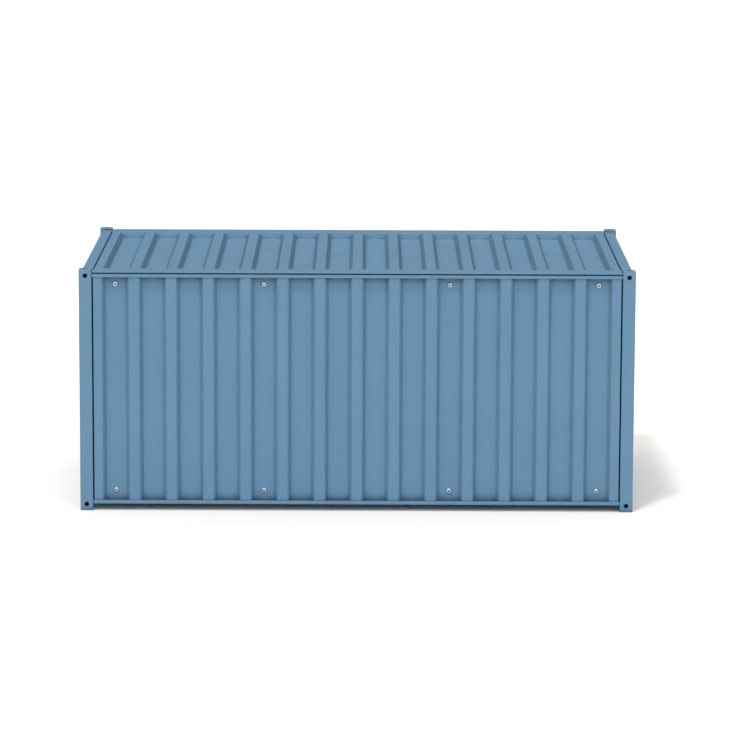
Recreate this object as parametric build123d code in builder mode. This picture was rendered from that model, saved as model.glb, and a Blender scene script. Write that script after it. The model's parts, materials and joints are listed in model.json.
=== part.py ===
"""Scale-model shipping container in folded and pressed sheet steel, lengths in mm.

Origin at the middle of the base, +X along the length towards the door end, +Z up.
The front long side faces -Y.
"""

import os
from math import atan, cos, degrees, radians

from build123d import *

# Overall size, over the corner blocks
LENGTH = 606.0
WIDTH = 356.0
HEIGHT = 267.0

# Corner blocks and posts
BLOCK = 14.0
BLOCK_WALL = 2.0
CORNER_HOLE = 5.0
POST_WALL = 1.5
POST_EDGE = 0.8

# Sheet and the pressed bays
SHEET = 1.0
BAY_PITCH = 40.5
BAY_DEPTH = 6.5
FLANK_RUN = 3.85
RIB = 10.8
PANEL_MARGIN = 9.3
PANEL_BEND = 2.0
PANEL_GAP = 1.6

# Roof sheet
ROOF_DROP = 2.4
ROOF_MARGIN = 27.0
ROOF_LAND = 26.0
ROOF_EDGE = 0.8
BAY_RIM = 1.4

# Side rails
BASE_CLEARANCE = 7.4
TOP_LIP = 3.5
BOTTOM_LIP = 4.3
RAIL_FLANGE = 22.0
RAIL_BEND = 0.65
RAIL_SEAM = 0.4
SHADOW_GAP = 1.5
SHADOW_GAP_DEPTH = 2.5
LIP_CLEARANCE = 0.2
PANEL_TUCK = 1.5

# Headers and sills across the two ends
END_SET_IN = 2.6
END_BEAM_HEIGHT = 13.0
BEAM_WALL = 1.0
BEAM_EDGE = 0.6

# Floor tray
TRAY_EDGE = 12.0

# Door leaves
LEAF_BAYS = 4
LEAF_SET_IN = 1.0
LEAF_GAP = 1.2
LEAF_SPLIT = 1.6
LEAF_MARGIN = 14.0
LEAF_BAY_DEPTH = 5.0

# Locking gear
ROD = 2.0
ROD_FROM_BEAM = 0.2
ROD_OVERRUN = 9.0
RUNNING_CLEARANCE = 0.05
GUIDE_WIDTH = 6.0
GUIDE_HEIGHT = 4.0
GUIDE_LEVELS = (0.14, 0.5, 0.86)
HUB_WIDTH = 4.0
HUB_HEIGHT = 6.0
HANDLE_HEIGHT = 3.0
HANDLE_THICKNESS = 1.0
HANDLE_ABOVE_LEAF_EDGE = 64.0
CATCH_WIDTH = 4.0
CATCH_HEIGHT = 6.0
CAM_WIDTH = 4.0
CAM_HEIGHT = 2.0
CAM_CLEARANCE = 0.1
KEEPER_WIDTH = 9.0
KEEPER_HEIGHT = 6.0

# Hinges
HINGE_LEVELS = (0.1, 0.37, 0.63, 0.9)
HINGE_HEIGHT = 8.0
HINGE_STRAP = 13.0
HINGE_STRAP_THICKNESS = 1.0
HINGE_BARREL = 2.6
HINGE_LUG = 1.6

# Places worked out from the sizes above
BLOCK_X = LENGTH / 2 - BLOCK / 2
BLOCK_Y = WIDTH / 2 - BLOCK / 2
INNER_X = LENGTH / 2 - BLOCK
INNER_Y = WIDTH / 2 - BLOCK
ROOF_TOP = HEIGHT - ROOF_DROP
RAIL_TOP = ROOF_TOP - SHEET
LEDGE_TOP = RAIL_TOP - SHADOW_GAP
RAIL_BOTTOM = BASE_CLEARANCE
LIP_UNDERSIDE = LEDGE_TOP - TOP_LIP
LIP_UPPER_EDGE = RAIL_BOTTOM + BOTTOM_LIP
RIB_FACE = SHEET + LIP_CLEARANCE
FLANGE_FACE = RIB_FACE + BAY_DEPTH + SHEET
BEAM_FACE = LENGTH / 2 - END_SET_IN
BEAM_DEPTH = BEAM_FACE - INNER_X
HEADER_BOTTOM = ROOF_TOP - END_BEAM_HEIGHT
SILL_TOP = BASE_CLEARANCE + END_BEAM_HEIGHT
LEAF_FACE = BEAM_FACE - LEAF_SET_IN
LEAF_BOTTOM = SILL_TOP + LEAF_GAP
LEAF_TOP = HEADER_BOTTOM - LEAF_GAP
LEAF_WIDTH = INNER_Y - LEAF_GAP - LEAF_SPLIT / 2
LEAF_CENTRE = LEAF_SPLIT / 2 + LEAF_WIDTH / 2
LEAF_PITCH = (LEAF_WIDTH - 2 * LEAF_MARGIN + RIB) / LEAF_BAYS
HANDLE_Z = LEAF_BOTTOM + HANDLE_ABOVE_LEAF_EDGE
ROD_X = BEAM_FACE + ROD_FROM_BEAM + ROD / 2
GEAR_FACE = LENGTH / 2

SIDES = {"front": -1, "rear": 1}
ENDS = {"left": -1, "right": 1}

os.makedirs("parts", exist_ok=True)


def save(piece, name):
    """Label a finished piece and write it as name.step."""
    piece.part.label = name
    export_step(piece.part, f"parts/{name}.step")


def level(share):
    """Height at a share of the way up the door leaves."""
    return LEAF_BOTTOM + share * (LEAF_TOP - LEAF_BOTTOM)


def bay_centres(count, pitch):
    """Places of count bays spaced pitch apart about zero."""
    return [(k - (count - 1) / 2) * pitch for k in range(count)]


def bay_layout(width):
    """Count and pitch of the bays that fill a corrugated sheet of this width."""
    run = width - 2 * PANEL_MARGIN + RIB
    count = max(1, round(run / BAY_PITCH))
    return count, run / count


def corrugation(half_width):
    """Corners of the middle line of a corrugated sheet, ribs at zero, bays below."""
    count, pitch = bay_layout(2 * half_width)
    mouth = (pitch - RIB) / 2
    floor = mouth - FLANK_RUN
    corners = [(-half_width, 0)]
    for centre in bay_centres(count, pitch):
        corners += [(centre - mouth, 0), (centre - floor, -BAY_DEPTH)]
        corners += [(centre + floor, -BAY_DEPTH), (centre + mouth, 0)]
    return corners + [(half_width, 0)]


def pressed_sheet(inward, length, width, centres, mouth, reach, depth):
    """Flat sheet behind a plane that faces inward, with a row of closed bays pressed in."""
    slope = degrees(atan(FLANK_RUN / BAY_DEPTH))
    wall = SHEET / cos(radians(slope))
    places = [(centre, 0) for centre in centres]
    with BuildPart() as sheet:
        with BuildSketch(inward):
            Rectangle(length, width)
        extrude(amount=SHEET)
        with BuildSketch(inward):
            with Locations(*places):
                Rectangle(mouth + 2 * wall, reach + 2 * wall)
        extrude(amount=depth + SHEET, taper=slope)
        with BuildSketch(inward):
            with Locations(*places):
                Rectangle(mouth, reach)
        extrude(amount=depth, taper=slope, mode=Mode.SUBTRACT)
        outside = [face for face in sheet.faces() if abs(face_depth(face, inward)) < BAY_RIM / 10]
        rims = [edge for face in outside for wire in face.inner_wires() for edge in wire.edges()]
        fillet(rims, radius=BAY_RIM)
    return sheet


def face_depth(face, inward):
    """Depth of a face's middle below the sheet's outer plane."""
    return inward.to_local_coords(face.center()).Z


# Corner blocks, drilled from their three outer sides
for level_name, level_sign in {"bottom": -1, "top": 1}.items():
    for side_name, side in SIDES.items():
        for end_name, end in ENDS.items():
            centre = (end * BLOCK_X, side * BLOCK_Y, HEIGHT / 2 + level_sign * (HEIGHT - BLOCK) / 2)
            with BuildPart() as block:
                with Locations(centre):
                    Box(BLOCK, BLOCK, BLOCK)
                faces_up = block.faces().sort_by(Axis.Z)
                post_face = faces_up[-1] if level_sign < 0 else faces_up[0]
                at_post = post_face.edges()
                fillet([edge for edge in block.edges() if edge not in at_post], POST_EDGE)
                with Locations(centre):
                    inner = BLOCK - 2 * BLOCK_WALL
                    Box(inner, inner, inner, mode=Mode.SUBTRACT)
                outer_faces = [
                    Plane(centre, z_dir=(end, 0, 0)),
                    Plane(centre, z_dir=(0, side, 0)),
                    Plane(centre, z_dir=(0, 0, level_sign)),
                ]
                for face in outer_faces:
                    with BuildSketch(face.offset(BLOCK / 2)):
                        Circle(CORNER_HOLE / 2)
                    extrude(amount=-BLOCK_WALL, mode=Mode.SUBTRACT)
            save(block, f"corner_{level_name}_{side_name}_{end_name}")

# Corner posts, square tube between the blocks
for side_name, side in SIDES.items():
    for end_name, end in ENDS.items():
        with BuildPart() as post:
            with BuildSketch(Plane.XY.offset(BLOCK)):
                with Locations((end * BLOCK_X, side * BLOCK_Y)):
                    RectangleRounded(BLOCK, BLOCK, POST_EDGE)
                    Rectangle(BLOCK - 2 * POST_WALL, BLOCK - 2 * POST_WALL, mode=Mode.SUBTRACT)
            extrude(amount=HEIGHT - 2 * BLOCK)
        save(post, f"post_{side_name}_{end_name}")

# Side rails, channels folded from sheet: a lip outside, a flange inside for the panel's screws.
# The upper one has a step below the roof sheet, and all lips end just short of the blocks.
half = SHEET / 2
lip_line = -WIDTH / 2 + half
step_line = -WIDTH / 2 + SHADOW_GAP_DEPTH + half
flange_line = -WIDTH / 2 + FLANGE_FACE + half
seam_ends = [(end * (INNER_X - RAIL_SEAM / 2), -WIDTH / 2) for end in ENDS.values()]
with BuildPart() as top_rail_front:
    with BuildSketch(Plane.YZ):
        with BuildLine():
            FilletPolyline(
                (lip_line, LIP_UNDERSIDE),
                (lip_line, LEDGE_TOP - half),
                (step_line, LEDGE_TOP - half),
                (step_line, RAIL_TOP - half),
                (flange_line, RAIL_TOP - half),
                (flange_line, RAIL_TOP - RAIL_FLANGE),
                radius=RAIL_BEND,
            )
        trace(line_width=SHEET)
    extrude(amount=INNER_X, both=True)
    with BuildSketch(Plane.XY.offset(LIP_UNDERSIDE)):
        with Locations(*seam_ends):
            Rectangle(RAIL_SEAM, 2 * SHADOW_GAP_DEPTH)
    extrude(amount=TOP_LIP, mode=Mode.SUBTRACT)
save(top_rail_front, "top_rail_front")
with BuildPart() as top_rail_rear:
    mirror(top_rail_front.part, about=Plane.XZ)
save(top_rail_rear, "top_rail_rear")

with BuildPart() as bottom_rail_front:
    with BuildSketch(Plane.YZ):
        with BuildLine():
            FilletPolyline(
                (lip_line, LIP_UPPER_EDGE),
                (lip_line, RAIL_BOTTOM + half),
                (flange_line, RAIL_BOTTOM + half),
                (flange_line, RAIL_BOTTOM + RAIL_FLANGE),
                radius=RAIL_BEND,
            )
        trace(line_width=SHEET)
    extrude(amount=INNER_X, both=True)
    with BuildSketch(Plane.XY.offset(RAIL_BOTTOM)):
        with Locations(*seam_ends):
            Rectangle(RAIL_SEAM, 2 * SHADOW_GAP_DEPTH)
    extrude(amount=BOTTOM_LIP, mode=Mode.SUBTRACT)
save(bottom_rail_front, "bottom_rail_front")
with BuildPart() as bottom_rail_rear:
    mirror(bottom_rail_front.part, about=Plane.XZ)
save(bottom_rail_rear, "bottom_rail_rear")

# Headers and sills, rectangular tube between the corner blocks
beam_bottoms = {"header": HEADER_BOTTOM, "sill": BASE_CLEARANCE}
for beam_name, beam_bottom in beam_bottoms.items():
    for end_name, end in ENDS.items():
        with BuildPart() as beam:
            with BuildSketch(Plane.XZ):
                with Locations((end * (INNER_X + BEAM_DEPTH / 2), beam_bottom + END_BEAM_HEIGHT / 2)):
                    RectangleRounded(BEAM_DEPTH, END_BEAM_HEIGHT, BEAM_EDGE)
                    Rectangle(
                        BEAM_DEPTH - 2 * BEAM_WALL,
                        END_BEAM_HEIGHT - 2 * BEAM_WALL,
                        mode=Mode.SUBTRACT,
                    )
            extrude(amount=INNER_Y, both=True)
        save(beam, f"{beam_name}_{end_name}")

# Long side panels, corrugated sheet tucked behind the lips of the rails
PANEL_HALF = INNER_X - PANEL_GAP
PANEL_BOTTOM = LIP_UPPER_EDGE - PANEL_TUCK
PANEL_TOP = LIP_UNDERSIDE + PANEL_TUCK
with BuildPart() as side_panel_front:
    front_face = Plane(
        (0, -WIDTH / 2 + RIB_FACE + half, PANEL_BOTTOM), x_dir=(-1, 0, 0), z_dir=(0, 0, 1)
    )
    with BuildSketch(front_face):
        with BuildLine():
            FilletPolyline(*corrugation(PANEL_HALF), radius=PANEL_BEND)
        trace(line_width=SHEET)
    extrude(amount=PANEL_TOP - PANEL_BOTTOM)
save(side_panel_front, "side_panel_front")
with BuildPart() as side_panel_rear:
    mirror(side_panel_front.part, about=Plane.XZ)
save(side_panel_rear, "side_panel_rear")

# Roof, a flat sheet on the rails with bays pressed in line with those of the sides.
# Its ends are cut back to the panel gap between the two lands along the rails.
SIDE_BAYS, SIDE_PITCH = bay_layout(2 * PANEL_HALF)
roof_plane = Plane((0, 0, ROOF_TOP), x_dir=(1, 0, 0), z_dir=(0, 0, -1))
roof_sheet = pressed_sheet(
    inward=roof_plane,
    length=2 * (INNER_X - RAIL_SEAM),
    width=WIDTH,
    centres=bay_centres(SIDE_BAYS, SIDE_PITCH),
    mouth=SIDE_PITCH - RIB,
    reach=WIDTH - 2 * ROOF_MARGIN,
    depth=BAY_DEPTH,
)
with BuildPart() as roof_panel:
    add(roof_sheet.part)
    with BuildSketch(roof_plane):
        with Locations(*[(end * (PANEL_HALF + INNER_X) / 2, 0) for end in ENDS.values()]):
            Rectangle(PANEL_GAP, WIDTH - 2 * ROOF_LAND)
    extrude(amount=SHEET, mode=Mode.SUBTRACT)
    along = roof_panel.edges().filter_by(Axis.X).group_by(Axis.Z)[-1].sort_by(Axis.Y)
    fillet([along[0], along[-1]], radius=ROOF_EDGE)
save(roof_panel, "roof_panel")

# End wall, corrugated like the sides and welded under the header and on the sill
END_HALF = INNER_Y - PANEL_GAP
with BuildPart() as end_panel:
    end_face = Plane((-BEAM_FACE + RIB_FACE + half, 0, SILL_TOP), x_dir=(0, 1, 0), z_dir=(0, 0, 1))
    with BuildSketch(end_face):
        with BuildLine():
            FilletPolyline(*corrugation(END_HALF), radius=PANEL_BEND)
        trace(line_width=SHEET)
    extrude(amount=HEADER_BOTTOM - SILL_TOP)
save(end_panel, "end_panel_left")

# Floor, a tray with turned-up edges between the flanges of the rails and the sills
TRAY_HALF_Y = WIDTH / 2 - FLANGE_FACE - SHEET
with BuildPart() as floor_tray:
    with BuildSketch(Plane.XY.offset(RAIL_BOTTOM)):
        Rectangle(2 * INNER_X, 2 * TRAY_HALF_Y)
    extrude(amount=TRAY_EDGE)
    floor_top = floor_tray.faces().sort_by(Axis.Z)[-1]
    offset(amount=-SHEET, openings=floor_top)
save(floor_tray, "floor_tray")

# Door leaves at the right-hand end, flat sheet with bays pressed in
leaf_height = LEAF_TOP - LEAF_BOTTOM
for side_name, side in SIDES.items():
    leaf_plane = Plane(
        (LEAF_FACE, side * LEAF_CENTRE, (LEAF_BOTTOM + LEAF_TOP) / 2),
        x_dir=(0, 1, 0),
        z_dir=(-1, 0, 0),
    )
    leaf = pressed_sheet(
        inward=leaf_plane,
        length=LEAF_WIDTH,
        width=leaf_height,
        centres=bay_centres(LEAF_BAYS, LEAF_PITCH),
        mouth=LEAF_PITCH - RIB,
        reach=leaf_height - 2 * LEAF_MARGIN,
        depth=LEAF_BAY_DEPTH,
    )
    save(leaf, f"door_{side_name}")

# Locking gear on each leaf: two rods, each with a cam at both ends, on the leaf's ribs
rod_places = {"inner": LEAF_CENTRE - LEAF_PITCH, "outer": LEAF_CENTRE + LEAF_PITCH}
rod_bottom = SILL_TOP - ROD_OVERRUN
rod_top = HEADER_BOTTOM + ROD_OVERRUN
keeper_levels = {"bottom": (rod_bottom + SILL_TOP) / 2, "top": (rod_top + HEADER_BOTTOM) / 2}
for side_name, side in SIDES.items():
    for rod_name, rod_y in rod_places.items():
        with BuildPart() as rod:
            with BuildSketch(Plane.XY.offset(rod_bottom)):
                with Locations((ROD_X, side * rod_y)):
                    Circle(ROD / 2)
            extrude(amount=rod_top - rod_bottom)
            cam_reach = GEAR_FACE - CAM_CLEARANCE - ROD_X
            for cam_level in keeper_levels.values():
                with Locations((ROD_X + cam_reach / 2, side * rod_y, cam_level)):
                    Box(cam_reach, CAM_WIDTH, CAM_HEIGHT)
        save(rod, f"lock_rod_{side_name}_{rod_name}")

# Keepers on the header and the sill, each holding one cam
for level_name, keeper_level in keeper_levels.items():
    with BuildPart() as keepers:
        with BuildSketch(Plane.XY.offset(keeper_level - KEEPER_HEIGHT / 2)):
            for side in SIDES.values():
                for rod_y in rod_places.values():
                    with Locations(((BEAM_FACE + GEAR_FACE) / 2, side * rod_y)):
                        Rectangle(GEAR_FACE - BEAM_FACE, KEEPER_WIDTH)
                    with Locations((ROD_X, side * rod_y)):
                        Circle(ROD / 2 + RUNNING_CLEARANCE, mode=Mode.SUBTRACT)
        extrude(amount=KEEPER_HEIGHT)
        with BuildSketch(Plane.XY.offset(keeper_level - CAM_HEIGHT / 2 - CAM_CLEARANCE)):
            for side in SIDES.values():
                for rod_y in rod_places.values():
                    with Locations(((ROD_X + GEAR_FACE) / 2, side * rod_y)):
                        Rectangle(GEAR_FACE - ROD_X, CAM_WIDTH + 2 * CAM_CLEARANCE)
        extrude(amount=CAM_HEIGHT + 2 * CAM_CLEARANCE, mode=Mode.SUBTRACT)
    save(keepers, f"cam_keepers_{level_name}")

for side_name, side in SIDES.items():
    # Guides that carry the rods on the leaf
    with BuildPart() as guides:
        for guide_level in GUIDE_LEVELS:
            with BuildSketch(Plane.XY.offset(level(guide_level) - GUIDE_HEIGHT / 2)):
                for rod_y in rod_places.values():
                    with Locations(((LEAF_FACE + GEAR_FACE) / 2, side * rod_y)):
                        Rectangle(GEAR_FACE - LEAF_FACE, GUIDE_WIDTH)
                    with Locations((ROD_X, side * rod_y)):
                        Circle(ROD / 2 + RUNNING_CLEARANCE, mode=Mode.SUBTRACT)
            extrude(amount=GUIDE_HEIGHT)
    save(guides, f"rod_guides_{side_name}")

    # Handles, each a hub on its rod and a flat bar that lies in a catch on the next rib
    with BuildPart() as handles:
        for rod_y in rod_places.values():
            with BuildSketch(Plane.XY.offset(HANDLE_Z - HUB_HEIGHT / 2)):
                with Locations(((LEAF_FACE + GEAR_FACE) / 2, side * rod_y)):
                    Rectangle(GEAR_FACE - LEAF_FACE, HUB_WIDTH)
                with Locations((ROD_X, side * rod_y)):
                    Circle(ROD / 2 + RUNNING_CLEARANCE, mode=Mode.SUBTRACT)
            extrude(amount=HUB_HEIGHT)
            bar_start = rod_y + HUB_WIDTH / 2 - RUNNING_CLEARANCE
            bar_end = rod_y + LEAF_PITCH + CATCH_WIDTH / 2
            bar_centre = (ROD_X, side * (bar_start + bar_end) / 2, HANDLE_Z)
            with Locations(bar_centre):
                Box(HANDLE_THICKNESS, bar_end - bar_start, HANDLE_HEIGHT)
            catch_face = ROD_X + HANDLE_THICKNESS / 2
            catch_centre = ((LEAF_FACE + catch_face) / 2, side * (rod_y + LEAF_PITCH), HANDLE_Z)
            with Locations(catch_centre):
                Box(catch_face - LEAF_FACE, CATCH_WIDTH, CATCH_HEIGHT)
    save(handles, f"door_handles_{side_name}")

    # Hinges: a strap on the leaf, a barrel and a lug on the post
    with BuildPart() as hinges:
        barrel_x = LEAF_FACE + HINGE_BARREL / 2
        barrel_y = INNER_Y - HINGE_BARREL / 2
        for hinge_level in HINGE_LEVELS:
            with BuildSketch(Plane.XY.offset(level(hinge_level) - HINGE_HEIGHT / 2)):
                with Locations((LEAF_FACE + HINGE_STRAP_THICKNESS / 2, side * (barrel_y - HINGE_STRAP / 2))):
                    Rectangle(HINGE_STRAP_THICKNESS, HINGE_STRAP)
                with Locations((barrel_x, side * barrel_y)):
                    Circle(HINGE_BARREL / 2)
                with Locations((barrel_x, side * (barrel_y + INNER_Y) / 2)):
                    Rectangle(HINGE_LUG, INNER_Y - barrel_y)
            extrude(amount=HINGE_HEIGHT)
    save(hinges, f"door_hinges_{side_name}")
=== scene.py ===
"""Looks of the scale-model shipping container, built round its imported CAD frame.

Laid out as a Blender add-on and run as a script. Lengths are in metres, in the CAD frame.
"""

import json
from math import cos, pi, radians, sin

import bmesh
import bpy
from mathutils import Matrix, Vector


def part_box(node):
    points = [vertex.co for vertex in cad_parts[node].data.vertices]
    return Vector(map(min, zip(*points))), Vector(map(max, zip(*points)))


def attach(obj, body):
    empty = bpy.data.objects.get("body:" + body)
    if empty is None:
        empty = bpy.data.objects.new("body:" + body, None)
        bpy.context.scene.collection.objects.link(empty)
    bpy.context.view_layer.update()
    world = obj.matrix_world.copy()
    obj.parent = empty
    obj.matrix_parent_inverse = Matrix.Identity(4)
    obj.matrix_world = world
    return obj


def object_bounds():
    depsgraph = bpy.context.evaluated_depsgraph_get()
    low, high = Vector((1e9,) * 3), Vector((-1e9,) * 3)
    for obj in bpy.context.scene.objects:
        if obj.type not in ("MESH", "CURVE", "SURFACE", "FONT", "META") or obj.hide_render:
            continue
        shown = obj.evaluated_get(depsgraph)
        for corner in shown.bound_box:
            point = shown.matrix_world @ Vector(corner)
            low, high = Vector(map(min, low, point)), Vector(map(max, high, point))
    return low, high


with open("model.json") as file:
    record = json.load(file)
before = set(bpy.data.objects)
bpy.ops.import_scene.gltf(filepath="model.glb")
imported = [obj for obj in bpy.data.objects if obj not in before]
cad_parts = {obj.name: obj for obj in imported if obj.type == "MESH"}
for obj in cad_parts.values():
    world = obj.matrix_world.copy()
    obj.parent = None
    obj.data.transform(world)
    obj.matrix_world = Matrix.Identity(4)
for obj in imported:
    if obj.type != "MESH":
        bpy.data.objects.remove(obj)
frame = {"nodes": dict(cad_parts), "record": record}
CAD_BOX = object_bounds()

bl_info = {
    "name": "Scale Model Container Finish",
    "version": (1, 0, 0),
    "blender": (4, 5, 0),
    "location": "3D View > Sidebar > Container",
    "description": "Powder coat, zinc plate, fasteners and a plain studio for a scale model container",
    "category": "Object",
}

MM = 0.001
BODY = "root"

# Slots of the record and the nodes that carry them
POWDER_SLOT = "powder_coat"
ZINC_SLOT = "zinc_plate"
SLOT_OF_NODE = {part["node"]: part["material_slot"] for part in frame["record"]["subparts"]}

# Camera fitted to the photograph's edges, for a square frame on a 36 mm sensor
CAMERA_PLACE = Vector((0.01086, -4.28650, 0.85328))
CAMERA_YAW = radians(-0.1233)
CAMERA_PITCH = radians(9.6872)
CAMERA_ROLL = radians(0.2491)
CAMERA_LENS = 183.299
SENSOR_WIDTH = 36.0
CAMERA_CLIP = (0.05, 200.0)

# Panel screws: places along the side, levels, and how deep the bay floor lies behind the side's face
SCREW_PLACES = (-263.85 * MM, -101.6 * MM, 101.25 * MM, 263.25 * MM)
SCREW_HEIGHTS = (21.9 * MM, 250.4 * MM)
BAY_FLOOR_FROM_FACE = 7.7 * MM

# Form of a screw: the rim is a share of the head's rise, the flat top a share of the socket's width
SCREW_STEPS = 48
SCREW_CHAMFER = 0.12 * MM
SCREW_RIM_SHARE = 0.2
SCREW_FLAT_SHARE = 0.72
SCREW_CROWN_ROWS = 7
# Material index of the socket's faces, which carry painted shade
SOCKET_SHADE_INDEX = 1

# Hinge rivets: places from the strap's free end, how deep the strap lies behind the end face, and levels
RIVET_PLACES = (2.6 * MM, 8.0 * MM)
HINGE_STRAP_FACE = 2.6 * MM
HINGE_LEVELS = (44.48 * MM, 106.26 * MM, 165.74 * MM, 227.52 * MM)

# Form of a rivet: the flat top is a share of the head's diameter
RIVET_STEPS = 32
RIVET_FLAT_SHARE = 0.05
RIVET_CROWN_ROWS = 6

# Edges of a fastener that bend more than this stay sharp
SHARP_EDGE = radians(35)

# Colours, set for the strength of the studio's light
PAINT_COLOUR = (0.108, 0.214, 0.325)
ZINC_COLOUR = (0.53, 0.565, 0.60)
# Dark colour inside the screw sockets is painted shade
SOCKET_SHADE_COLOUR = (0.12, 0.125, 0.13)
FLOOR_COLOUR = (0.95, 0.92, 0.885)

# Noise of the finishes, and the part of the mottle's range that changes the roughness
GRAIN_SIZE = 1.0 * MM
GRAIN_DETAIL = 2.0
MOTTLE_SIZE = 60.0 * MM
MOTTLE_DETAIL = 4.0
ROUGH_MOTTLE = (0.3, 0.7)

# Painted shade in the paint's crevices: openness where the painted shade is darkest and where it stops,
# and its darkest tone
CREVICE_SAMPLES = 8
CREVICE_OPENNESS = (0.15, 0.8)
CREVICE_SHADE_TONE = 0.12
UNDERSIDE_NORMAL = -0.5

# Lights far off: azimuth from the camera's side, height over the floor, and how wide each looks
STUDIO_LIGHTS = {
    "front": {"azimuth": radians(0), "height": radians(20), "spread": radians(60)},
    "overhead": {"azimuth": radians(0), "height": radians(90), "spread": radians(100)},
    "back": {"azimuth": radians(180), "height": radians(50), "spread": radians(40)},
    "left": {"azimuth": radians(-60), "height": radians(50), "spread": radians(50)},
    "right": {"azimuth": radians(35), "height": radians(30), "spread": radians(30)},
    "key": {"azimuth": radians(-27), "height": radians(64), "spread": radians(6)},
}


class PaintSettings(bpy.types.PropertyGroup):
    """Powder coat on the folded steel."""

    colour: bpy.props.FloatVectorProperty(
        name="Paint colour",
        description="Colour of the powder coat",
        subtype="COLOR",
        size=3,
        min=0.0,
        max=1.0,
        default=PAINT_COLOUR,
    )
    roughness: bpy.props.FloatProperty(
        name="Roughness",
        description="How matt the powder coat is",
        subtype="FACTOR",
        min=0.0,
        max=1.0,
        default=0.52,
    )
    grain: bpy.props.FloatProperty(
        name="Grain size",
        description="Distance between the bumps of the orange peel",
        unit="LENGTH",
        precision=4,
        min=0.0002,
        max=0.01,
        default=0.9 * MM,
    )
    grain_depth: bpy.props.FloatProperty(
        name="Grain depth",
        description="Height of the orange peel",
        unit="LENGTH",
        precision=6,
        min=0.0,
        max=0.0005,
        default=0.012 * MM,
    )
    # Reach of the painted shade that darkens the paint near other faces
    crevice: bpy.props.FloatProperty(
        name="Crevice reach",
        description="How near other faces have to be for the paint to darken",
        unit="LENGTH",
        precision=4,
        min=0.0,
        default=12.0 * MM,
    )


class ZincSettings(bpy.types.PropertyGroup):
    """Bright zinc on the rods, handles and screws."""

    colour: bpy.props.FloatVectorProperty(
        name="Zinc colour",
        description="Colour of the plated steel",
        subtype="COLOR",
        size=3,
        min=0.0,
        max=1.0,
        default=ZINC_COLOUR,
    )
    roughness: bpy.props.FloatProperty(
        name="Roughness",
        description="How dull the plating is",
        subtype="FACTOR",
        min=0.0,
        max=1.0,
        default=0.3,
    )


class ScrewSettings(bpy.types.PropertyGroup):
    """Button-head screws that hold the side panels to the rails."""

    head: bpy.props.FloatProperty(
        name="Head diameter",
        description="Across the screw head",
        unit="LENGTH",
        precision=4,
        min=0.001,
        default=5.7 * MM,
    )
    rise: bpy.props.FloatProperty(
        name="Head height",
        description="From the bay floor to the top of the head",
        unit="LENGTH",
        precision=4,
        min=0.0002,
        default=1.5 * MM,
    )
    socket: bpy.props.FloatProperty(
        name="Socket width",
        description="Across the flats of the hexagon socket",
        unit="LENGTH",
        precision=4,
        min=0.0002,
        default=2.2 * MM,
    )
    socket_depth: bpy.props.FloatProperty(
        name="Socket depth",
        description="From the top of the head to the socket's bottom",
        unit="LENGTH",
        precision=4,
        min=0.0001,
        default=1.3 * MM,
    )


class RivetSettings(bpy.types.PropertyGroup):
    """Painted rivets that fix the hinge straps to the door leaves."""

    head: bpy.props.FloatProperty(
        name="Head diameter",
        description="Across the rivet head",
        unit="LENGTH",
        precision=4,
        min=0.0005,
        default=2.6 * MM,
    )
    rise: bpy.props.FloatProperty(
        name="Head height",
        description="From the strap to the top of the head",
        unit="LENGTH",
        precision=4,
        min=0.0001,
        default=0.8 * MM,
    )


class StudioSettings(bpy.types.PropertyGroup):
    """Floor and lights round the container."""

    front: bpy.props.FloatProperty(
        name="Front light",
        description="Broad light from behind the camera",
        min=0.0,
        default=1.55,
    )
    overhead: bpy.props.FloatProperty(
        name="Overhead light",
        description="Broad light from above",
        min=0.0,
        default=1.63,
    )
    back: bpy.props.FloatProperty(
        name="Back light",
        description="Broad light from above and behind the container",
        min=0.0,
        default=0.70,
    )
    left: bpy.props.FloatProperty(
        name="Left light",
        description="Broad light from the front left",
        min=0.0,
        default=0.42,
    )
    right: bpy.props.FloatProperty(
        name="Right light",
        description="Fill light from the front right",
        min=0.0,
        default=0.34,
    )
    key: bpy.props.FloatProperty(
        name="Key light",
        description="Narrow light from above, which throws the shadow on the floor",
        min=0.0,
        default=0.95,
    )
    ambient: bpy.props.FloatProperty(
        name="Ambient",
        description="Strength of the even light from all round",
        min=0.0,
        default=0.04,
    )
    floor_half: bpy.props.FloatProperty(
        name="Floor reach",
        description="From the middle of the floor to its edge",
        unit="LENGTH",
        min=1.0,
        default=40.0,
    )


def settings(name):
    """PropertyGroup of that name on the scene."""
    return getattr(bpy.context.scene, name)


def node_group(name, inputs, outputs):
    """New shader node group with float inputs (name: default) and named outputs (name: socket type)."""
    group = bpy.data.node_groups.new(name, "ShaderNodeTree")
    for socket_name, default in inputs.items():
        socket = group.interface.new_socket(socket_name, in_out="INPUT", socket_type="NodeSocketFloat")
        socket.default_value = default
    for socket_name, kind in outputs.items():
        group.interface.new_socket(socket_name, in_out="OUTPUT", socket_type=kind)
    return group


def add_node(tree, kind, place, **values):
    """Node of that kind at a place in the tree, with its plain attributes set."""
    node = tree.nodes.new(kind)
    node.location = place
    for key, value in values.items():
        setattr(node, key, value)
    return node


def map_range(tree, place, source, target=(0.0, 1.0)):
    """Map Range node from one span of values to another."""
    node = add_node(tree, "ShaderNodeMapRange", place)
    node.inputs["From Min"].default_value, node.inputs["From Max"].default_value = source
    node.inputs["To Min"].default_value, node.inputs["To Max"].default_value = target
    return node


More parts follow.
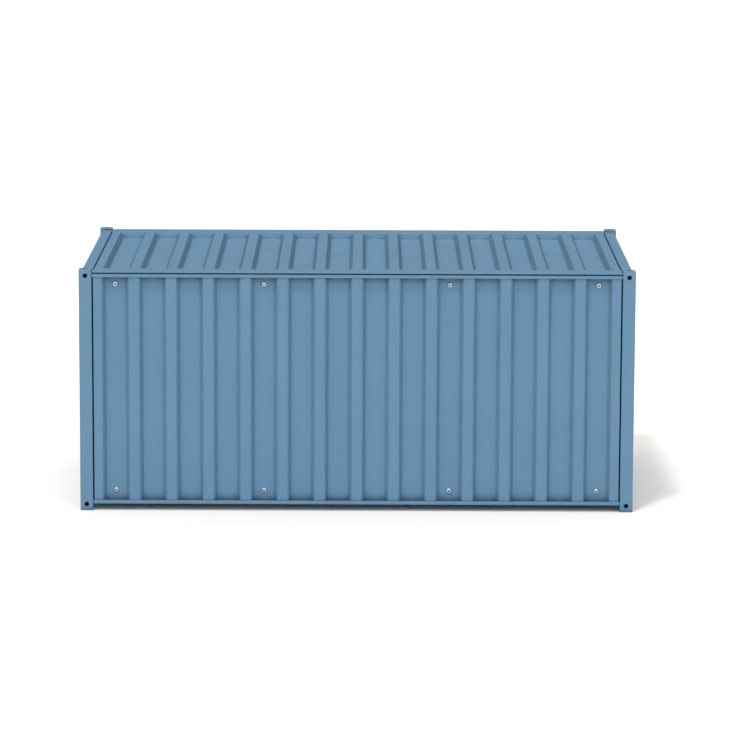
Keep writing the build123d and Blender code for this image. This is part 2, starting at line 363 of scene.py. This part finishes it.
def grain_group():
    """Group that gives the height of a fine grain and a slow mottle, both in object space."""
    name = "Surface Grain"
    if name in bpy.data.node_groups:
        return bpy.data.node_groups[name]
    group = node_group(
        name,
        {"Grain Size": GRAIN_SIZE, "Mottle Size": MOTTLE_SIZE},
        {"Height": "NodeSocketFloat", "Mottle": "NodeSocketFloat"},
    )
    link = group.links.new
    entry = add_node(group, "NodeGroupInput", (-800, 0))
    leave = add_node(group, "NodeGroupOutput", (400, 0))
    place = add_node(group, "ShaderNodeTexCoord", (-800, 300))
    rows = (
        ("Grain Size", "Height", GRAIN_DETAIL, 200),
        ("Mottle Size", "Mottle", MOTTLE_DETAIL, -200),
    )
    for size_name, output_name, detail, height in rows:
        inverse = add_node(group, "ShaderNodeMath", (-500, height), operation="DIVIDE")
        inverse.inputs[0].default_value = 1.0
        link(entry.outputs[size_name], inverse.inputs[1])
        noise = add_node(group, "ShaderNodeTexNoise", (-200, height))
        noise.inputs["Detail"].default_value = detail
        link(place.outputs["Object"], noise.inputs["Vector"])
        link(inverse.outputs["Value"], noise.inputs["Scale"])
        link(noise.outputs["Fac"], leave.inputs[output_name])
    return group


def finish_material(
    name,
    colour,
    roughness,
    metallic,
    specular,
    grain,
    grain_depth,
    tone_range,
    rough_range,
    crevice=0.0,
):
    """Material of that name, made once, whose tone, roughness and bump follow the grain group, with
    painted shade in its crevices when crevice is above zero.
    """
    if name in bpy.data.materials:
        return bpy.data.materials[name]
    material = bpy.data.materials.new(name)
    material.use_nodes = True
    tree = material.node_tree
    link = tree.links.new
    shader = tree.nodes["Principled BSDF"]
    surface = add_node(tree, "ShaderNodeGroup", (-900, 0))
    surface.node_tree = grain_group()
    surface.inputs["Grain Size"].default_value = grain

    dark = [channel * (1.0 - tone_range) for channel in colour]
    light = [min(1.0, channel * (1.0 + tone_range)) for channel in colour]
    tone = add_node(tree, "ShaderNodeMix", (-500, 200), data_type="RGBA")
    tone.inputs["A"].default_value = (*dark, 1.0)
    tone.inputs["B"].default_value = (*light, 1.0)
    link(surface.outputs["Mottle"], tone.inputs["Factor"])
    colour_end = tone.outputs["Result"]
    # Painted shade: the colour darkens where near faces close the surface in
    if crevice > 0.0:
        colour_end = painted_crevice_shade(tree, colour_end, crevice, dark)
    link(colour_end, shader.inputs["Base Color"])

    rough = map_range(tree, (-500, -50), ROUGH_MOTTLE, (roughness - rough_range, roughness + rough_range))
    link(surface.outputs["Mottle"], rough.inputs["Value"])
    link(rough.outputs["Result"], shader.inputs["Roughness"])

    bump = add_node(tree, "ShaderNodeBump", (-500, -350))
    bump.inputs["Strength"].default_value = 1.0
    bump.inputs["Distance"].default_value = grain_depth
    link(surface.outputs["Height"], bump.inputs["Height"])
    link(bump.outputs["Normal"], shader.inputs["Normal"])
    shader.inputs["Metallic"].default_value = metallic
    shader.inputs["Specular IOR Level"].default_value = specular
    return material


def painted_crevice_shade(tree, unshaded_colour, reach, colour):
    """The unshaded colour with painted shade, darker where near faces close a point in, but not on
    undersides.
    """
    link = tree.links.new
    sky = add_node(tree, "ShaderNodeAmbientOcclusion", (-1100, 700), samples=CREVICE_SAMPLES)
    sky.inputs["Distance"].default_value = reach
    openness = map_range(tree, (-900, 700), CREVICE_OPENNESS)
    link(sky.outputs["AO"], openness.inputs["Value"])

    geometry = add_node(tree, "ShaderNodeNewGeometry", (-1300, 1000))
    split = add_node(tree, "ShaderNodeSeparateXYZ", (-1100, 1000))
    underside = add_node(tree, "ShaderNodeMath", (-900, 1000), operation="LESS_THAN")
    underside.inputs[1].default_value = UNDERSIDE_NORMAL
    link(geometry.outputs["Normal"], split.inputs["Vector"])
    link(split.outputs["Z"], underside.inputs[0])

    unshaded_share = add_node(tree, "ShaderNodeMath", (-650, 850), operation="MAXIMUM")
    link(underside.outputs["Value"], unshaded_share.inputs[0])
    link(openness.outputs["Result"], unshaded_share.inputs[1])
    shade = add_node(tree, "ShaderNodeMix", (-300, 500), data_type="RGBA")
    shade.inputs["A"].default_value = (*[channel * CREVICE_SHADE_TONE for channel in colour], 1.0)
    link(unshaded_colour, shade.inputs["B"])
    link(unshaded_share.outputs["Value"], shade.inputs["Factor"])
    return shade.outputs["Result"]


def coat(slot, material):
    """Give that material to every CAD node of a record slot."""
    for node_name, node_slot in SLOT_OF_NODE.items():
        if node_slot != slot:
            continue
        piece = frame["nodes"][node_name]
        piece.data.materials.clear()
        piece.data.materials.append(material)


def ring(mesh, radii, height):
    """Ring of vertices round +Z, one radius for each step."""
    steps = len(radii)
    turns = [2 * pi * k / steps for k in range(steps)]
    return [mesh.verts.new((r * cos(a), r * sin(a), height)) for r, a in zip(radii, turns)]


def skin(mesh, rings):
    """Quads between rings that follow each other."""
    for low, high in zip(rings, rings[1:]):
        for k in range(len(low)):
            after = (k + 1) % len(low)
            mesh.faces.new((low[k], low[after], high[after], high[k]))


def hexagon_radii(width, steps):
    """Distance from the middle to a hexagon's edge at each of the steps round it."""
    sixth = pi / 3
    return [width / 2 / cos((2 * pi * k / steps) % sixth - sixth / 2) for k in range(steps)]


def crown_rows(radius, rise, flat_radius, count):
    """Radii and heights of a domed head from its rim to the edge of its flat middle."""
    rows = []
    for k in range(count + 1):
        turn = pi / 2 * k / count
        rows.append((flat_radius + (radius - flat_radius) * cos(turn), rise * sin(turn)))
    return rows


def screw_mesh(name, head, rise, socket, socket_depth):
    """Closed button head with a hexagon socket whose faces take the painted shade material, standing on z
    = 0.
    """
    mesh = bmesh.new()
    foot = ring(mesh, [head / 2 - SCREW_CHAMFER] * SCREW_STEPS, 0.0)
    rings = [foot, ring(mesh, [head / 2] * SCREW_STEPS, SCREW_CHAMFER)]
    rim = SCREW_RIM_SHARE * rise
    flat = SCREW_FLAT_SHARE * socket
    for radius, height in crown_rows(head / 2, rise - rim, flat, SCREW_CROWN_ROWS):
        rings.append(ring(mesh, [radius] * SCREW_STEPS, rim + height))
    mouth = hexagon_radii(socket + SCREW_CHAMFER, SCREW_STEPS)
    walls = hexagon_radii(socket, SCREW_STEPS)
    rings.append(ring(mesh, mouth, rise))
    rings.append(ring(mesh, walls, rise - SCREW_CHAMFER))
    rings.append(ring(mesh, walls, rise - socket_depth))
    skin(mesh, rings[:-1])
    mesh.faces.new(reversed(foot))
    bright_faces = len(mesh.faces)
    skin(mesh, rings[-2:])
    mesh.faces.new(rings[-1])
    mesh.faces.ensure_lookup_table()
    for face in mesh.faces[bright_faces:]:
        face.material_index = SOCKET_SHADE_INDEX
    return mesh_data(name, mesh)


def rivet_mesh(name, head, rise):
    """Closed dome standing on z = 0."""
    mesh = bmesh.new()
    rings = []
    for radius, height in crown_rows(head / 2, rise, RIVET_FLAT_SHARE * head, RIVET_CROWN_ROWS):
        rings.append(ring(mesh, [radius] * RIVET_STEPS, height))
    skin(mesh, rings)
    mesh.faces.new(rings[-1])
    mesh.faces.new(reversed(rings[0]))
    return mesh_data(name, mesh)


def mesh_data(name, mesh):
    """Mesh datablock from a bmesh, smooth but for its sharp edges."""
    bmesh.ops.recalc_face_normals(mesh, faces=mesh.faces)
    for face in mesh.faces:
        face.smooth = True
    for edge in mesh.edges:
        edge.smooth = len(edge.link_faces) == 2 and edge.calc_face_angle() < SHARP_EDGE
    data = bpy.data.meshes.new(name)
    mesh.to_mesh(data)
    mesh.free()
    return data


def joined_copies(name, data, places, outward):
    """One object with a copy of the mesh at each place, its +Z turned to face outward."""
    turn = Vector(outward).to_track_quat("Z", "Y").to_matrix().to_4x4()
    mesh = bmesh.new()
    for place in places:
        before = len(mesh.verts)
        mesh.from_mesh(data)
        mesh.verts.ensure_lookup_table()
        bmesh.ops.transform(mesh, matrix=Matrix.Translation(place) @ turn, verts=mesh.verts[before:])
    joined = bpy.data.meshes.new(name)
    mesh.to_mesh(joined)
    mesh.free()
    piece = bpy.data.objects.new(name, joined)
    bpy.context.scene.collection.objects.link(piece)
    return piece


def paint_material():
    """Powder coat of the sheet steel, which the hinge rivets share."""
    paint = settings("container_paint")
    return finish_material(
        "Powder coat",
        colour=tuple(paint.colour),
        roughness=paint.roughness,
        metallic=0.0,
        specular=0.1,
        grain=paint.grain,
        grain_depth=paint.grain_depth,
        tone_range=0.05,
        rough_range=0.04,
        # The powder coat carries painted shade in its crevices
        crevice=paint.crevice,
    )


def zinc_material():
    """Zinc plate of the rods and handles, which the panel screws share."""
    zinc = settings("container_zinc")
    return finish_material(
        "Zinc plate",
        colour=tuple(zinc.colour),
        roughness=zinc.roughness,
        metallic=1.0,
        specular=0.5,
        grain=0.5 * MM,
        grain_depth=0.004 * MM,
        tone_range=0.06,
        rough_range=0.05,
    )


def socket_shade_material():
    """Painted shade inside a screw's socket, a dull dark metal standing in for the shade there."""
    return finish_material(
        "Screw recess",
        colour=SOCKET_SHADE_COLOUR,
        roughness=0.6,
        metallic=0.6,
        specular=0.3,
        grain=0.4 * MM,
        grain_depth=0.002 * MM,
        tone_range=0.2,
        rough_range=0.1,
    )


def floor_material():
    """Matt white of the studio's floor, slightly warm against the blue that the paint throws on it."""
    return finish_material(
        "Studio floor",
        colour=FLOOR_COLOUR,
        roughness=0.8,
        metallic=0.0,
        specular=0.0,
        grain=2.0 * MM,
        grain_depth=0.0,
        tone_range=0.002,
        rough_range=0.02,
    )


class CONTAINER_OT_powder_coat(bpy.types.Operator):
    """Coat the panels, rails, posts and corner blocks"""

    bl_idname = "container.powder_coat"
    bl_label = "Powder Coat"

    def execute(self, context):
        coat(POWDER_SLOT, paint_material())
        return {"FINISHED"}


class CONTAINER_OT_zinc_plate(bpy.types.Operator):
    """Plate the lock rods and handles with bright zinc"""

    bl_idname = "container.zinc_plate"
    bl_label = "Zinc Plate"

    def execute(self, context):
        coat(ZINC_SLOT, zinc_material())
        return {"FINISHED"}


class CONTAINER_OT_panel_screws(bpy.types.Operator):
    """Screw both side panels to their rails"""

    bl_idname = "container.panel_screws"
    bl_label = "Panel Screws"

    def execute(self, context):
        screw = settings("container_screw")
        data = screw_mesh("panel_screw", screw.head, screw.rise, screw.socket, screw.socket_depth)
        face = CAD_BOX[1].y - BAY_FLOOR_FROM_FACE
        for side_name, side in {"front": -1, "rear": 1}.items():
            places = [Vector((x, side * face, z)) for z in SCREW_HEIGHTS for x in SCREW_PLACES]
            piece = joined_copies(f"panel_screws_{side_name}", data, places, (0, side, 0))
            piece.data.materials.append(zinc_material())
            # Second slot: painted shade inside the sockets
            piece.data.materials.append(socket_shade_material())
            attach(piece, BODY)
        bpy.data.meshes.remove(data)
        return {"FINISHED"}


class CONTAINER_OT_hinge_rivets(bpy.types.Operator):
    """Rivet the hinge straps to the door leaves"""

    bl_idname = "container.hinge_rivets"
    bl_label = "Hinge Rivets"

    def execute(self, context):
        rivet = settings("container_rivet")
        data = rivet_mesh("hinge_rivet", rivet.head, rivet.rise)
        face = CAD_BOX[1].x - HINGE_STRAP_FACE
        for side_name, side in {"front": -1, "rear": 1}.items():
            low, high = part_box(f"door_hinges_{side_name}")
            strap_end = min(abs(low[1]), abs(high[1]))
            places = [
                Vector((face, side * (strap_end + place), level))
                for level in HINGE_LEVELS
                for place in RIVET_PLACES
            ]
            piece = joined_copies(f"hinge_rivets_{side_name}", data, places, (1, 0, 0))
            piece.data.materials.append(paint_material())
            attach(piece, BODY)
        bpy.data.meshes.remove(data)
        return {"FINISHED"}


class CONTAINER_OT_studio(bpy.types.Operator):
    """Set up the floor, the lights and the camera"""

    bl_idname = "container.studio"
    bl_label = "Studio"

    def execute(self, context):
        studio = settings("container_studio")
        lay_floor(studio.floor_half)
        for name, light in STUDIO_LIGHTS.items():
            hang_light(name, light, getattr(studio, name))
        set_world(studio.ambient)
        set_camera()
        view = bpy.context.scene.view_settings
        view.view_transform = "Standard"
        view.look = "None"
        return {"FINISHED"}


def lay_floor(half):
    """Large white floor that fills the background."""
    mesh = bmesh.new()
    bmesh.ops.create_grid(mesh, x_segments=1, y_segments=1, size=half)
    data = bpy.data.meshes.new("studio_floor")
    mesh.to_mesh(data)
    mesh.free()
    floor = bpy.data.objects.new("studio_floor", data)
    bpy.context.scene.collection.objects.link(floor)
    data.materials.append(floor_material())


def hang_light(name, light, strength):
    """Sun of that spread, seen from the container at its azimuth and height."""
    data = bpy.data.lights.new(f"{name}_light", "SUN")
    data.energy = strength
    data.angle = light["spread"]
    lamp = bpy.data.objects.new(data.name, data)
    bpy.context.scene.collection.objects.link(lamp)
    level = cos(light["height"])
    towards = Vector((
        sin(light["azimuth"]) * level,
        -cos(light["azimuth"]) * level,
        sin(light["height"]),
    ))
    lamp.rotation_mode = "QUATERNION"
    lamp.rotation_quaternion = towards.to_track_quat("Z", "Y")


def set_world(strength):
    """Even white light from all round."""
    world = bpy.data.worlds.new("Studio")
    world.use_nodes = True
    background = world.node_tree.nodes["Background"]
    background.inputs["Color"].default_value = (1.0, 1.0, 1.0, 1.0)
    background.inputs["Strength"].default_value = strength
    bpy.context.scene.world = world


def set_camera():
    """Camera at the photograph's viewing angle."""
    right = Vector((cos(CAMERA_YAW), sin(CAMERA_YAW), 0.0))
    ahead = Vector((
        -sin(CAMERA_YAW) * cos(CAMERA_PITCH),
        cos(CAMERA_YAW) * cos(CAMERA_PITCH),
        -sin(CAMERA_PITCH),
    ))
    up = right.cross(ahead)
    rolled_right = cos(CAMERA_ROLL) * right + sin(CAMERA_ROLL) * up
    rolled_up = cos(CAMERA_ROLL) * up - sin(CAMERA_ROLL) * right
    data = bpy.data.cameras.new("camera")
    data.lens = CAMERA_LENS
    data.sensor_width = SENSOR_WIDTH
    data.clip_start, data.clip_end = CAMERA_CLIP
    camera = bpy.data.objects.new("camera", data)
    bpy.context.scene.collection.objects.link(camera)
    turn = Matrix((rolled_right, rolled_up, -ahead)).transposed()
    camera.matrix_world = Matrix.Translation(CAMERA_PLACE) @ turn.to_4x4()
    bpy.context.scene.camera = camera


class VIEW3D_PT_container(bpy.types.Panel):
    """Sidebar panel with the container's finishes and fittings"""

    bl_idname = "VIEW3D_PT_container"
    bl_label = "Scale Model Container"
    bl_space_type = "VIEW_3D"
    bl_region_type = "UI"
    bl_category = "Container"

    def draw(self, context):
        for group_name, operator in PANEL_ROWS:
            box = self.layout.box()
            group = getattr(context.scene, group_name)
            for key in group.__annotations__:
                box.prop(group, key)
            box.operator(operator)


SETTINGS = {
    "container_paint": PaintSettings,
    "container_zinc": ZincSettings,
    "container_screw": ScrewSettings,
    "container_rivet": RivetSettings,
    "container_studio": StudioSettings,
}
OPERATORS = (
    CONTAINER_OT_powder_coat,
    CONTAINER_OT_zinc_plate,
    CONTAINER_OT_panel_screws,
    CONTAINER_OT_hinge_rivets,
    CONTAINER_OT_studio,
)
PANEL_ROWS = tuple(zip(SETTINGS, (operator.bl_idname for operator in OPERATORS)))
CLASSES = (*SETTINGS.values(), *OPERATORS, VIEW3D_PT_container)


def register():
    """Add the classes and hang each PropertyGroup on the scene."""
    for item in CLASSES:
        bpy.utils.register_class(item)
    for name, group in SETTINGS.items():
        setattr(bpy.types.Scene, name, bpy.props.PointerProperty(type=group))


def unregister():
    """Take the PropertyGroups and classes away again."""
    for name in SETTINGS:
        delattr(bpy.types.Scene, name)
    for item in reversed(CLASSES):
        bpy.utils.unregister_class(item)


def main():
    register()
    bpy.ops.container.powder_coat()
    bpy.ops.container.zinc_plate()
    bpy.ops.container.panel_screws()
    bpy.ops.container.hinge_rivets()
    bpy.ops.container.studio()


if __name__ == "__main__":
    main()
